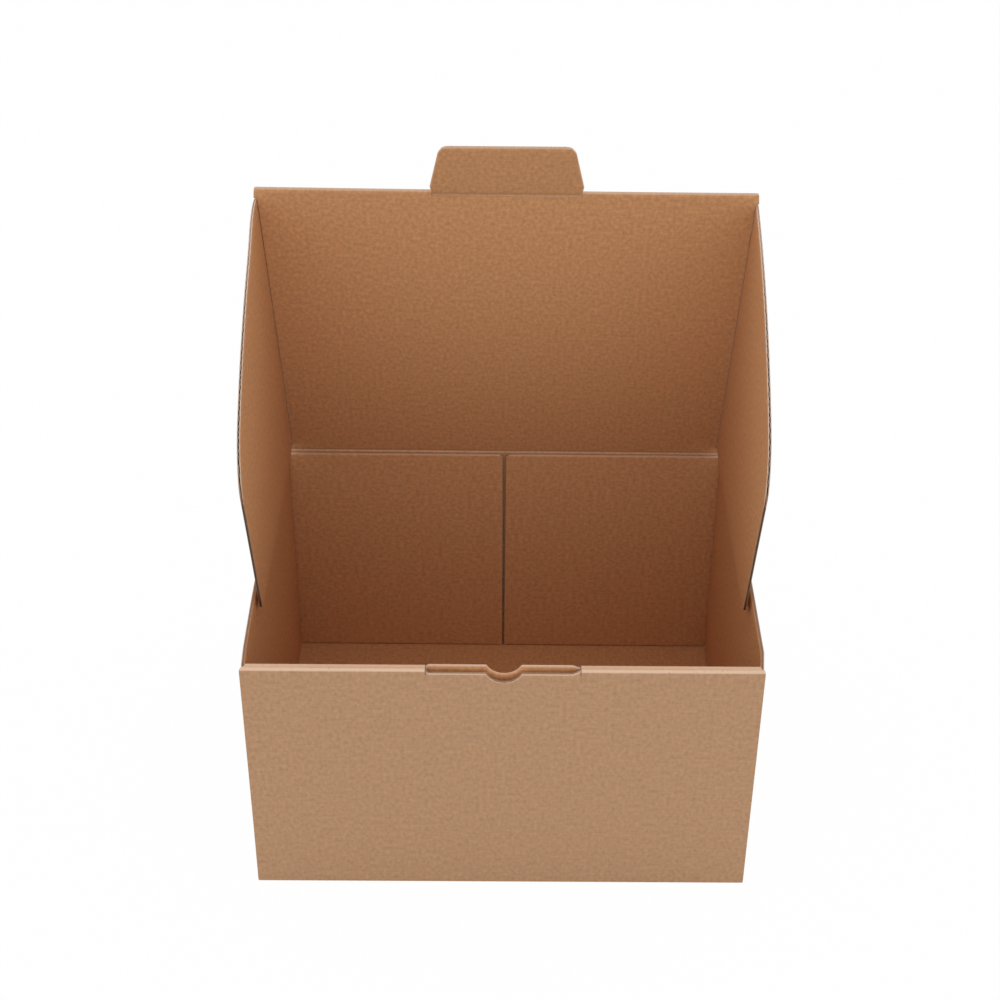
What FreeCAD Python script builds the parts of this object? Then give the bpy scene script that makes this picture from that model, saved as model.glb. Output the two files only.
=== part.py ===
import FreeCAD, Part
import math
import os
import Sketcher

# Corrugated mailer box, standing open: a tray folded from one sheet, and its lid with two
# side wings and a tuck tab. Millimetres. The origin is under the middle of the tray,
# X runs to the right, Y from front to back and Z up. The tray is drawn from its front face,
# at Y 0, and then moved to its place.

Vector = FreeCAD.Vector
doc = FreeCAD.newDocument("mailer_box")

# The sizes that can be set, each with what it measures
sizes = doc.addObject("Spreadsheet::Sheet", "sizes")
DRIVING = [
    ("box_width", 200.0, "tray, outside, left to right"),
    ("box_depth", 161.0, "tray, outside, front to back"),
    ("wall_height", 111.5, "floor to the top of the side walls"),
    ("board", 1.5, "thickness of the corrugated board"),
    ("layer_gap", 0.2, "air between two layers that lie together"),
    ("fold_round", 1.2, "outer radius of a folded edge"),
    ("front_flap", 65.0, "length of the flap caught inside the front wall"),
    ("rear_flap_drop", 1.7, "rear flaps' top below the side walls' top"),
    ("seam_top", 2.1, "gap between the two rear flaps at the top"),
    ("seam_foot", 1.4, "the same gap at the floor"),
    ("flap_corner", 2.0, "rounded top corner of a rear flap"),
    ("roll_inset", 2.8, "inner front panel short of the outer one, each end"),
    ("roll_mitre", 0.3, "where the mitred end of the front roll starts, from the front face"),
    ("slot_length", 59.5, "tuck slot in the front roll"),
    ("thumb_width", 14.0, "thumb notch across"),
    ("thumb_depth", 4.0, "thumb notch down from the top"),
    ("lock_length", 26.0, "lock tab under the inner front panel"),
    ("lock_spread", 110.0, "between the middles of the two lock tabs"),
    ("lock_end_gap", 0.5, "play of a lock tab in its slot, each end"),
    ("lid_open", 69.7, "lid turned up from closed, degrees"),
    ("lid_inset", 3.1, "lid narrower than the tray, each side"),
    ("rest_gap", 0.3, "closed lid above the walls"),
    ("hinge_gap", 0.1, "running gap at a fold that turns"),
    ("wing_side_gap", 0.8, "wing inside the side wall"),
    ("wing_front_gap", 1.0, "wing behind the front wall as it swings in"),
    ("wing_rear_gap", 1.0, "wing in front of the rear flaps when closed"),
    ("wing_floor_gap", 4.2, "wing above the floor when closed"),
    ("wing_rake", 27.5, "wing's rear edge, further forward at its foot"),
    ("wing_corner", 30.0, "wing's front lower corner"),
    ("wing_heel", 4.0, "wing's rear lower corner"),
    ("wing_relief", 0.5, "cut between a wing's ends and the lid"),
    ("lip_slant", 2.0, "slanted start of the lid's lip"),
    ("tab_length", 26.5, "tuck tab, fold to tip"),
    ("tab_side_gap", 0.6, "tuck tab in its slot, each end"),
    ("tab_neck", 1.2, "tuck tab narrower at its fold, each side"),
    ("tab_shoulder", 6.0, "from the tuck tab's fold to where it is widest"),
    ("tab_taper", 3.6, "tuck tab narrower at its tip, each side"),
    ("tab_corner", 3.3, "rounded tip corner of the tuck tab"),
    ("tab_relief", 1.1, "cut beside the tuck tab's neck in the lid's lip"),
    ("tab_lean", 3.0, "tuck tab bent in from the lid's plane, degrees"),
]
for row, (alias, value, meaning) in enumerate(DRIVING, start=1):
    sizes.set(f"A{row}", meaning)
    sizes.set(f"B{row}", str(value))
    sizes.setAlias(f"B{row}", alias)
doc.recompute()

# Sizes that follow from those, as expressions for the features
HALF_WIDTH = "sizes.box_width / 2"
FRONT_THICK = "(3 * sizes.board + 2 * sizes.layer_gap)"
LAYER = "(sizes.board + sizes.layer_gap)"
WING_INNER = "(sizes.box_width / 2 - 2 * sizes.board - sizes.wing_side_gap)"
WING_REACH = f"(sizes.box_depth - sizes.board / 2 - {FRONT_THICK} - sizes.wing_front_gap)"
WING_REAR = "(1.5 * sizes.board + sizes.layer_gap + sizes.wing_rear_gap)"
WING_DEPTH = "(sizes.wall_height + sizes.rest_gap - sizes.board - sizes.wing_floor_gap)"
TAB_HALF = "(sizes.slot_length / 2 - sizes.tab_side_gap)"
TAB_NECK = f"({TAB_HALF} - sizes.tab_neck)"
TAB_FOLD = f"(sizes.box_depth - sizes.board / 2 - sizes.board - {LAYER})"
THUMB_RADIUS = "((sizes.thumb_width ^ 2 / 4 + sizes.thumb_depth ^ 2) / (2 * sizes.thumb_depth))"
NEAR = 0.01
SIDES = (("left", -1), ("right", 1))


def value_of(expression):
    return float(sizes.evalExpression(expression))


def new_body(label):
    body = doc.addObject("PartDesign::Body", label)
    body.Label = label
    return body


def new_sketch(body, name, role, lift):
    # A sketch on one of the body's own planes, lifted off it along its normal
    sketch = body.newObject("Sketcher::SketchObject", name)
    plane = next(item for item in body.Origin.OriginFeatures if item.Role == role)
    sketch.AttachmentSupport = (plane, "")
    sketch.MapMode = "FlatFace"
    sketch.setExpression("AttachmentOffset.Base.z", lift)
    return sketch


def fix_point(sketch, line, across, up):
    # Hold a line's first point at its two expressions
    for kind, expression in (("DistanceX", across), ("DistanceY", up)):
        index = sketch.addConstraint(Sketcher.Constraint(kind, line, 1, value_of(expression)))
        sketch.setExpression(f"Constraints[{index}]", expression)


def polygon(body, name, role, lift, corners):
    # A closed outline of straight lines through corners given as pairs of expressions
    sketch = new_sketch(body, name, role, lift)
    places = [Vector(value_of(across), value_of(up), 0) for across, up in corners]
    count = len(places)
    for index in range(count):
        sketch.addGeometry(Part.LineSegment(places[index], places[(index + 1) % count]))
    for index in range(count):
        sketch.addConstraint(Sketcher.Constraint("Coincident", index, 2, (index + 1) % count, 1))
    for index, (across, up) in enumerate(corners):
        fix_point(sketch, index, across, up)
    return sketch


def rectangle(body, name, role, lift, across, up):
    (left, right), (low, high) = across, up
    corners = [(left, low), (right, low), (right, high), (left, high)]
    return polygon(body, name, role, lift, corners)


def circle(body, name, role, lift, up, radius):
    # A circle centred on the sketch's upright axis
    sketch = new_sketch(body, name, role, lift)
    centre = Vector(0, value_of(up), 0)
    ring = sketch.addGeometry(Part.Circle(centre, Vector(0, 0, 1), value_of(radius)))
    sketch.addConstraint(Sketcher.Constraint("PointOnObject", ring, 3, -2))
    height = sketch.addConstraint(Sketcher.Constraint("DistanceY", ring, 3, centre.y))
    sketch.setExpression(f"Constraints[{height}]", up)
    size = sketch.addConstraint(Sketcher.Constraint("Radius", ring, value_of(radius)))
    sketch.setExpression(f"Constraints[{size}]", radius)
    return sketch


def settle(feature):
    # Recompute, and stop at the feature that failed
    doc.recompute()
    if "Invalid" in feature.State or "Error" in feature.State:
        raise RuntimeError(f"{feature.Name} failed: {feature.State}")
    return feature


def add_pad(body, name, sketch, length, symmetric=False, reverse=False):
    pad = body.newObject("PartDesign::Pad", name)
    pad.Profile = sketch
    pad.setExpression("Length", length)
    pad.SideType = "Symmetric" if symmetric else "One side"
    pad.Reversed = reverse
    return settle(pad)


def cut_pocket(body, name, sketch, depth):
    # Cuts against the sketch's normal, and says so if nothing came away
    before = body.Shape.Volume
    pocket = body.newObject("PartDesign::Pocket", name)
    pocket.Profile = sketch
    pocket.setExpression("Length", depth)
    settle(pocket)
    if body.Shape.Volume >= before:
        raise RuntimeError(f"{name} cut nothing")
    return pocket


def edges_at(shape, direction, *places):
    # Names of the straight edges along a direction that pass through one of the places,
    # each place given by its two coordinates across that direction
    others = [axis for axis in "xyz" if axis != direction]
    names = []
    for number, edge in enumerate(shape.Edges, start=1):
        if not isinstance(edge.Curve, Part.Line):
            continue
        if abs(abs(getattr(edge.Curve.Direction, direction)) - 1) > NEAR:
            continue
        here = [getattr(edge.Vertexes[0].Point, axis) for axis in others]
        if any(max(abs(here[0] - a), abs(here[1] - b)) < NEAR for a, b in places):
            names.append(f"Edge{number}")
    return names


def round_edges(body, name, names, radius):
    if not names:
        raise RuntimeError(f"{name} found no edge")
    base = body.Tip
    rounding = body.newObject("PartDesign::Fillet", name)
    rounding.Base = (base, names)
    rounding.setExpression("Radius", radius)
    return settle(rounding)


def signed(sign, expression):
    return f"{sign} * ({expression})"


def front_and_back(tray):
    # Back wall, floor, outer front panel, roll over the top and inner front panel: one strip,
    # seen from the right side, as wide as the tray
    foot = LAYER
    back_top = "sizes.wall_height + sizes.rest_gap - sizes.hinge_gap"
    profile = polygon(tray, "strip_section", "YZ_Plane", "0", [
        ("sizes.box_depth", back_top),
        ("sizes.box_depth", "0"),
        ("0", "0"),
        ("0", "sizes.wall_height"),
        (FRONT_THICK, "sizes.wall_height"),
        (FRONT_THICK, foot),
        (f"{FRONT_THICK} - sizes.board", foot),
        (f"{FRONT_THICK} - sizes.board", "sizes.wall_height - sizes.board"),
        ("sizes.board", "sizes.wall_height - sizes.board"),
        ("sizes.board", "sizes.board"),
        ("sizes.box_depth - sizes.board", "sizes.board"),
        ("sizes.box_depth - sizes.board", back_top),
    ])
    add_pad(tray, "strip", profile, "sizes.box_width", symmetric=True)
    depth = value_of("sizes.box_depth")
    top = value_of("sizes.wall_height")
    thick = value_of(FRONT_THICK)
    half = value_of(HALF_WIDTH)
    folds = edges_at(tray.Shape, "x", (depth, 0), (0, 0), (0, top), (thick, top))
    folds += edges_at(tray.Shape, "y", (half, 0), (-half, 0))
    round_edges(tray, "strip_folds", folds, "sizes.fold_round")


def roll_ends(tray, side, sign):
    # The roll is mitred at its ends, and the inner front panel stops inside the side walls
    beyond = f"({HALF_WIDTH} + sizes.board)"
    inner = f"({HALF_WIDTH} - sizes.roll_inset)"
    behind = f"({FRONT_THICK} + sizes.board)"
    mitre = polygon(tray, f"{side}_mitre", "XY_Plane", "sizes.wall_height", [
        (signed(sign, beyond), "sizes.roll_mitre"),
        (signed(sign, HALF_WIDTH), "sizes.roll_mitre"),
        (signed(sign, f"{HALF_WIDTH} - {LAYER}"), "sizes.board"),
        (signed(sign, inner), f"{FRONT_THICK} - sizes.board"),
        (signed(sign, inner), behind),
        (signed(sign, beyond), behind),
    ])
    cut_pocket(tray, f"{side}_mitre_cut", mitre, "sizes.board")
    under_roll = "sizes.wall_height - sizes.board"
    end = rectangle(tray, f"{side}_inner_end", "XY_Plane", under_roll,
                    (signed(sign, inner), signed(sign, beyond)), ("sizes.board", behind))
    cut_pocket(tray, f"{side}_inner_end_cut", end, "sizes.wall_height - 2 * sizes.board")


def slot_and_thumb_notch(tray):
    slot_half = "sizes.slot_length / 2"
    slot = rectangle(tray, "slot", "XY_Plane", "sizes.wall_height",
                     (f"-{slot_half}", slot_half), ("sizes.board", f"{FRONT_THICK} - sizes.board"))
    cut_pocket(tray, "slot_cut", slot, "sizes.board")
    centre = f"sizes.wall_height - sizes.thumb_depth + {THUMB_RADIUS}"
    notch = circle(tray, "thumb", "XZ_Plane", "0", centre, THUMB_RADIUS)
    cut_pocket(tray, "thumb_cut", notch, FRONT_THICK)


def lock_tabs(tray, side, sign):
    # Two tabs under the inner front panel stand in slots through the floor and hold the roll
    middle = signed(sign, "sizes.lock_spread / 2")
    half = "sizes.lock_length / 2"
    slot_half = f"({half} + sizes.lock_end_gap)"
    back = f"{FRONT_THICK} + sizes.layer_gap"
    front = f"{FRONT_THICK} - {LAYER}"
    slot = rectangle(tray, f"{side}_lock_slot", "XY_Plane", "sizes.board",
                     (f"{middle} - {slot_half}", f"{middle} + {slot_half}"), (front, back))
    cut_pocket(tray, f"{side}_lock_slot_cut", slot, "sizes.board")
    tab = rectangle(tray, f"{side}_lock_tab", "XY_Plane", "sizes.layer_gap",
                    (f"{middle} - {half}", f"{middle} + {half}"),
                    (f"{FRONT_THICK} - sizes.board", FRONT_THICK))
    add_pad(tray, f"{side}_lock", tab, "sizes.board")


def side_wall(tray, side, sign):
    # Side wall folded up from the floor, with a flap at each end folded inwards
    outer = signed(sign, HALF_WIDTH)
    inner = signed(sign, f"{HALF_WIDTH} - sizes.board")
    front = LAYER
    back = f"sizes.box_depth - {LAYER}"
    wall = rectangle(tray, f"{side}_wall", "XY_Plane", "sizes.board", (outer, inner), (front, back))
    add_pad(tray, f"{side}_wall_pad", wall, "sizes.wall_height - sizes.board")

    free_end = signed(sign, f"{HALF_WIDTH} - sizes.front_flap")
    flap = rectangle(tray, f"{side}_front_flap", "XY_Plane", LAYER,
                     (outer, free_end), (front, f"{front} + sizes.board"))
    add_pad(tray, f"{side}_front_flap_pad", flap, f"sizes.wall_height - 2 * {LAYER}")

    flap_top = "sizes.wall_height - sizes.rear_flap_drop"
    rear = polygon(tray, f"{side}_rear_flap", "XZ_Plane", f"-({back})", [
        (outer, LAYER),
        (signed(sign, "sizes.seam_foot / 2"), LAYER),
        (signed(sign, "sizes.seam_top / 2"), flap_top),
        (outer, flap_top),
    ])
    add_pad(tray, f"{side}_rear_flap_pad", rear, "sizes.board")
    corner = (sign * value_of("sizes.seam_top / 2"), value_of(flap_top))
    round_edges(tray, f"{side}_rear_flap_corner", edges_at(tray.Shape, "y", corner),
                "sizes.flap_corner")

    place = sign * value_of(HALF_WIDTH)
    upright = edges_at(tray.Shape, "z", (place, value_of(front)), (place, value_of(back)))
    round_edges(tray, f"{side}_wall_folds", upright, "sizes.fold_round")


def make_tray():
    tray = new_body("tray")
    front_and_back(tray)
    for side, sign in SIDES:
        roll_ends(tray, side, sign)
    slot_and_thumb_notch(tray)
    for side, sign in SIDES:
        lock_tabs(tray, side, sign)
        side_wall(tray, side, sign)
    tray.setExpression("Placement.Base.y", "-sizes.box_depth / 2")
    return tray


def make_lid():
    # Local frame: the hinge line is the X axis, half way through the board, and the closed
    # lid lies along -Y with its inner face down
    lid = new_body("lid_panel")
    lid_half = f"({HALF_WIDTH} - sizes.lid_inset)"
    fold = f"({WING_INNER} - sizes.hinge_gap)"
    recess = f"({TAB_NECK} + sizes.tab_relief)"
    wing_start = f"-({WING_REAR} - sizes.wing_relief)"
    wing_end = f"-({WING_REACH} + sizes.wing_relief)"
    lip_start = f"{wing_end} - sizes.lip_slant"
    lip_end = "-(sizes.box_depth - sizes.board / 2)"
    tab_start = f"-({TAB_FOLD} - sizes.hinge_gap)"
    half_outline = [
        (lid_half, "0"),
        (lid_half, wing_start),
        (fold, wing_start),
        (fold, wing_end),
        (lid_half, lip_start),
        (lid_half, lip_end),
        (recess, lip_end),
        (recess, tab_start),
    ]
    other_half = [(f"-{across}", up) for across, up in reversed(half_outline)]
    panel = polygon(lid, "lid_outline", "XY_Plane", "-sizes.board / 2", half_outline + other_half)
    add_pad(lid, "lid_pad", panel, "sizes.board")
    # The folded edge is round about the hinge line
    fold_section = circle(lid, "hinge_round", "YZ_Plane", "0", "0", "sizes.board / 2")
    add_pad(lid, "hinge_round_pad", fold_section, f"2 * {lid_half}", symmetric=True)
    hinge = "vector(0; sizes.box_depth / 2 - sizes.board / 2;" \
            " sizes.wall_height + sizes.rest_gap + sizes.board / 2)"
    lid.setExpression("Placement", f"placement({hinge}; rotation(vector(-1; 0; 0); sizes.lid_open))")
    return lid


def wing_outline(wing, sign):
    # Rear edge, foot and fold are straight. The front edge is an arc about the lid's hinge,
    # so that it swings past the front wall.
    sketch = new_sketch(wing, "wing_outline", "YZ_Plane", signed(sign, WING_INNER))
    fold_top = "sizes.board / 2"
    fold_inner = "-sizes.board / 2"
    foot = f"-(sizes.board / 2 + {WING_DEPTH})"
    heel = f"-({WING_REAR} + sizes.wing_rake)"
    reach = value_of(WING_REACH)
    arc_top = Vector(-math.sqrt(reach ** 2 - value_of(fold_top) ** 2), value_of(fold_top), 0)
    arc_foot = Vector(-math.sqrt(reach ** 2 - value_of(foot) ** 2), value_of(foot), 0)
    corners = [(f"-{WING_REAR}", fold_top), (f"-{WING_REAR}", fold_inner), (heel, foot)]
    places = [Vector(value_of(across), value_of(up), 0) for across, up in corners]
    path = [arc_top] + places + [arc_foot]
    for start, end in zip(path, path[1:]):
        sketch.addGeometry(Part.LineSegment(start, end))
    start_angle = math.atan2(arc_top.y, arc_top.x)
    end_angle = math.atan2(arc_foot.y, arc_foot.x) + 2 * math.pi
    ring = Part.Circle(Vector(0, 0, 0), Vector(0, 0, 1), reach)
    arc = sketch.addGeometry(Part.ArcOfCircle(ring, start_angle, end_angle))
    for line in range(3):
        sketch.addConstraint(Sketcher.Constraint("Coincident", line, 2, line + 1, 1))
    sketch.addConstraint(Sketcher.Constraint("Coincident", arc, 1, 0, 1))
    sketch.addConstraint(Sketcher.Constraint("Coincident", arc, 2, 3, 2))
    sketch.addConstraint(Sketcher.Constraint("Coincident", arc, 3, -1, 1))
    radius = sketch.addConstraint(Sketcher.Constraint("Radius", arc, reach))
    sketch.setExpression(f"Constraints[{radius}]", WING_REACH)
    for line, (across, up) in enumerate(corners, start=1):
        fix_point(sketch, line, across, up)
    sketch.addConstraint(Sketcher.Constraint("Horizontal", 0))
    sketch.addConstraint(Sketcher.Constraint("Horizontal", 3))
    return sketch


def make_wing(side, sign):
    # Side wing of the lid, in the lid's own frame, hanging from the fold along its side
    wing = new_body(f"{side}_wing")
    add_pad(wing, "wing_pad", wing_outline(wing, sign), "sizes.board", reverse=sign < 0)
    foot = -value_of(f"sizes.board / 2 + {WING_DEPTH}")
    front = -math.sqrt(value_of(WING_REACH) ** 2 - foot ** 2)
    heel = -value_of(f"{WING_REAR} + sizes.wing_rake")
    round_edges(wing, "wing_front_corner", edges_at(wing.Shape, "x", (front, foot)),
                "sizes.wing_corner")
    round_edges(wing, "wing_rear_corner", edges_at(wing.Shape, "x", (heel, foot)),
                "sizes.wing_heel")
    outer = sign * value_of(f"{WING_INNER} + sizes.board")
    round_edges(wing, "wing_fold", edges_at(wing.Shape, "y", (outer, value_of("sizes.board / 2"))),
                "sizes.fold_round")
    wing.setExpression("Placement", "lid_panel.Placement")
    return wing


def make_tab():
    # Tuck tab. Local frame: its fold is the X axis on the inner face, and it runs along -Y.
    tab = new_body("tuck_tab")
    tip_half = f"({TAB_HALF} - sizes.tab_taper)"
    outline = polygon(tab, "tab_outline", "XY_Plane", "0", [
        (TAB_NECK, "0"),
        (f"-{TAB_NECK}", "0"),
        (f"-{TAB_HALF}", "-sizes.tab_shoulder"),
        (f"-{tip_half}", "-sizes.tab_length"),
        (tip_half, "-sizes.tab_length"),
        (TAB_HALF, "-sizes.tab_shoulder"),
    ])
    add_pad(tab, "tab_pad", outline, "sizes.board")
    tip = value_of(tip_half)
    end = -value_of("sizes.tab_length")
    round_edges(tab, "tab_corners", edges_at(tab.Shape, "z", (tip, end), (-tip, end)),
                "sizes.tab_corner")
    fold = f"vector(0; -{TAB_FOLD}; -sizes.board / 2)"
    tab.setExpression("Placement", "lid_panel.Placement * "
                      f"placement({fold}; rotation(vector(1; 0; 0); sizes.tab_lean))")
    return tab


subparts = [make_tray(), make_lid()]
subparts += [make_wing(side, sign) for side, sign in SIDES]
subparts.append(make_tab())
doc.recompute()

for item in doc.Objects:
    if "Invalid" in item.State or "Error" in item.State:
        raise RuntimeError(f"{item.Name} failed: {item.State}")

os.makedirs("parts", exist_ok=True)
for body in subparts:
    shape = body.Shape
    if shape.isNull() or not shape.isValid() or len(shape.Solids) != 1:
        raise RuntimeError(f"{body.Label} is not one valid solid")
    shape.exportStep(f"parts/{body.Label}.step")
    print(body.Label, round(shape.Volume), "mm3", shape.BoundBox)
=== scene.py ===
import math

import bpy
import numpy as np
from mathutils import Matrix, Vector


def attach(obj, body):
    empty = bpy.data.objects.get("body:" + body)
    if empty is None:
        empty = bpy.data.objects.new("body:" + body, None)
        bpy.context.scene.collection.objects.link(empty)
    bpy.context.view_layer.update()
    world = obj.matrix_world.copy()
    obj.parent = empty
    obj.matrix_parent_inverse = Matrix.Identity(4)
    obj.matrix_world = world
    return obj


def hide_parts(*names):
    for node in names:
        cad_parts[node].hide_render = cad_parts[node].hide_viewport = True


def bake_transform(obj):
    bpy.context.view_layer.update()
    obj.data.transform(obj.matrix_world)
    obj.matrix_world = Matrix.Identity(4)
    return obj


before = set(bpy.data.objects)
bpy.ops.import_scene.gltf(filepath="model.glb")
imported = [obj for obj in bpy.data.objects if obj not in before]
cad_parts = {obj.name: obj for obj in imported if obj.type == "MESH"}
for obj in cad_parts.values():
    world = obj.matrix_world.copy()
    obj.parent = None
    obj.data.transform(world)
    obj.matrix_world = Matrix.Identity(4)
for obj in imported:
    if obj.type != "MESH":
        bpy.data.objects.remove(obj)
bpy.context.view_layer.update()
print("frame loaded:", sorted(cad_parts))

# A folded mailer box of corrugated kraft board. Each panel is drawn as the middle of its
# board, in millimetres, and a node tree turns it into two liners with the fluted paper
# between them. Y counts from the tray's front face until a panel is put in its place.

box = {
    "width": 200.0,
    "depth": 161.0,
    "wallHeight": 111.5,
    "board": 1.5,
    "layer": 1.7,               # board and the air beside it
    "lidOpen": math.radians(69.7),
    "hingeHeight": 112.55,
    "lidTwist": 1.45,           # left front corner of the lid, out of its plane
    "footOut": 1.2,             # left front corner of the floor, forwards
    "footDepth": 8.0,           # how that dies away to the back and upwards
    "footHeight": 25.0,
}
half = box["width"] / 2
middle = box["board"] / 2
millimetre = 0.001
hair = 0.01                     # two places nearer than this are the same one

board = {
    "liner": 0.22,
    "medium": 0.13,             # the fluted paper
    "flutePitch": 3.4,
    "columnsPerFlute": 6,
    "washboard": 0.012,         # flutes showing through the liners
    "foldRadius": 0.6,          # of the middle of the board, at a right-angled fold
    "foldLead": 1.4,            # where the board starts to thin beside a fold
    "foldCrush": 0.38,          # share of the thickness lost in a fold
    "foldSteps": 6,
    "edgeCrush": 0.4,           # the same at a cut edge
    "edgeFray": 0.05,
    "frayWaves": ((7.3, 0.0), (17.9, 1.7)),     # rate and start of each
    "edgeRows": ((1.3, 0.0, 0.0), (0.4, 0.5, 0.0), (0.0, 1.0, 1.0)),    # way in, crush, cut
    "columnGap": 0.35,          # least gap between columns, as a share of the usual one
    "rowSpacing": 24.0,
    "squeezeZone": 7.0,         # the columns this near to a side give way to its outline
    "weldGap": 0.001,           # liners and their sides close up within this
    "smoothBelow": math.radians(40),
    "patternStep": 37.0,        # each sheet has its own part of the paper's pattern
}


def limited(value):
    return min(1.0, max(0.0, value))


def bell(distance, width):
    return math.exp(-(distance / width) ** 2)


def columnStations(low, high, exact=()):
    # Lines along the flutes, evenly spaced, with some at exact places
    step = board["flutePitch"] / board["columnsPerFlute"]
    fixed = [low, high] + [value for value in exact if low < value < high]
    lines = [k * step for k in range(math.ceil(low / step), math.floor(high / step) + 1)]
    gap = board["columnGap"] * step
    lines = [value for value in lines if min(abs(value - f) for f in fixed) > gap]
    return sorted(lines + fixed)


def towardsEdge(edge, inward, crush=board["edgeCrush"], tone=1.0):
    # Rows up to a cut edge: (place, crush, cut). A tone below zero gives a dark edge, which in places is
    # painted shade
    return [(edge + inward * distance, crush * share, tone * cut)
            for distance, share, cut in board["edgeRows"]]


def straightRun(start, end, spacing):
    count = max(1, round((end - start).length / spacing))
    return [start.lerp(end, k / count) for k in range(count + 1)]


def foldedPath(corners, spacing=board["rowSpacing"]):
    # A board seen from its edge: rows of (point, crush, cut), with an arc at each corner
    radius, lead = board["foldRadius"], board["foldLead"]
    corners = [Vector(corner) for corner in corners]
    marks = [(corners[0], 0.0)]
    for before, here, after in zip(corners, corners[1:], corners[2:]):
        back = (before - here).normalized()
        on = (after - here).normalized()
        if back.dot(on) < -0.999:         # the board runs straight on
            marks.append((here, 0.0))
            continue
        centre = here + (back + on) * radius
        marks.append((here + back * (radius + lead), 0.0))
        for k in range(board["foldSteps"] + 1):
            turn = k / board["foldSteps"] * math.pi / 2
            place = centre - on * radius * math.cos(turn) - back * radius * math.sin(turn)
            marks.append((place, board["foldCrush"] * (0.5 + 0.5 * math.sin(2 * turn))))
        marks.append((here + on * (radius + lead), 0.0))
    marks.append((corners[-1], 0.0))
    rows = [(*marks[0], 0.0)]
    for (start, startCrush), (end, endCrush) in zip(marks, marks[1:]):
        run = straightRun(start, end, spacing)
        for k, place in enumerate(run[1:], start=1):
            share = k / (len(run) - 1)
            rows.append((place, startCrush + (endCrush - startCrush) * share, 0.0))
    return rows


def cutEnd(rows, atStart=False, tone=1.0):
    # Thin the board towards a cut end of the path
    if atStart:
        return cutEnd(rows[::-1], tone=tone)[::-1]
    end, inner = rows[-1][0], rows[-2][0]
    inward = (inner - end).normalized()
    room = (inner - end).length
    last = towardsEdge(end, inward, tone=tone)
    return rows[:-1] + [row for row in last if (row[0] - end).length < room]


def shadeBeside(distance, share, width):
    # Painted shadow beside a crease: a soft dark line, as a cut tone below zero
    return -share * bell(distance, width)


def rowLengths(rows):
    total, lengths = 0.0, [0.0]
    for before, after in zip(rows, rows[1:]):
        total += (after[0] - before[0]).length
        lengths.append(total)
    return lengths


def fray(across):
    # The same small raggedness wherever two grids share a line of flute
    waves = [math.sin(across * rate + start) for rate, start in board["frayWaves"]]
    return board["edgeFray"] * sum(waves) / 2


def squeeze(across, end, full, zone=board["squeezeZone"]):
    # Draw the outermost columns in, or out, to the half width of this row
    inner = full - zone
    if abs(across) <= inner:
        return across
    return math.copysign(inner + (abs(across) - inner) * (end - inner) / zone, across)


def roundCorner(into, radius):
    # How far a rounded corner has come in, this far past its start
    into = min(max(0.0, into), radius)
    return radius - math.sqrt(radius ** 2 - into ** 2)


class Sheet:
    # Gathers grids of (point, across, along, crush, cut) and welds them where they meet; a cut tone below
    # zero is dark, in places painted shade
    def __init__(self, name, seed, tone=1.0):
        self.name, self.seed, self.tone = name, seed, tone
        self.points, self.values, self.faces = [], [], []

    def addGrid(self, grid, flip=False, holes=()):
        first, rows = len(self.points), len(grid[0])
        for column in grid:
            for point, across, along, crush, cut in column:
                self.points.append(tuple(point))
                self.values.append((across, along, crush, cut))
        for i in range(len(grid) - 1):
            for j in range(rows - 1):
                a = first + i * rows + j
                face = (a, a + rows, a + rows + 1, a + 1)
                x = sum(self.values[k][0] for k in face) / 4
                y = sum(self.values[k][1] for k in face) / 4
                inHole = any(west < x < east and south < y < north
                             for west, east, south, north in holes)
                if not inHole:
                    self.faces.append(face[::-1] if flip else face)

    def weld(self):
        points = np.array(self.points) * millimetre
        _, keep, back = np.unique(np.round(points, 7), axis=0, return_index=True,
                                  return_inverse=True)
        back = back.ravel()
        faces = []
        for face in self.faces:
            corners = list(dict.fromkeys(int(back[k]) for k in face))
            if len(corners) > 2:
                faces.append(corners)
        return points[keep], np.array(self.values)[keep], faces


def addObject(name, data):
    thing = bpy.data.objects.new(name, data)
    bpy.context.scene.collection.objects.link(thing)
    return thing


def feed(tree, socket, value):
    # Another node's output is linked in, and anything else is the socket's own value
    if isinstance(value, bpy.types.NodeSocket):
        tree.links.new(value, socket)
    else:
        socket.default_value = value


def addNode(tree, kind, **inputs):
    node = tree.nodes.new(kind)
    for name, value in inputs.items():
        feed(tree, node.inputs[name], value)
    return node


def mathNode(tree, operation, *values):
    node = tree.nodes.new("ShaderNodeMath")
    node.operation = operation
    for socket, value in zip(node.inputs, values):
        feed(tree, socket, value)
    return node.outputs[0]


def times(tree, first, second):
    return mathNode(tree, "MULTIPLY", first, second)


def minus(tree, first, second):
    return mathNode(tree, "SUBTRACT", first, second)


def scaled(tree, vector, factor):
    node = tree.nodes.new("ShaderNodeVectorMath")
    node.operation = "SCALE"
    feed(tree, node.inputs[0], vector)
    feed(tree, node.inputs["Scale"], factor)
    return node.outputs["Vector"]


def joined(tree, *parts):
    node = tree.nodes.new("GeometryNodeJoinGeometry")
    for part in parts:
        tree.links.new(part, node.inputs["Geometry"])
    return node.outputs["Geometry"]


def readAttribute(tree, name):
    node = addNode(tree, "GeometryNodeInputNamedAttribute", Name=name)
    node.data_type = "FLOAT"
    return node.outputs["Attribute"]


def storeAttribute(tree, geometry, name, value):
    node = addNode(tree, "GeometryNodeStoreNamedAttribute", Geometry=geometry, Name=name, Value=value)
    return node.outputs["Geometry"]


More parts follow.
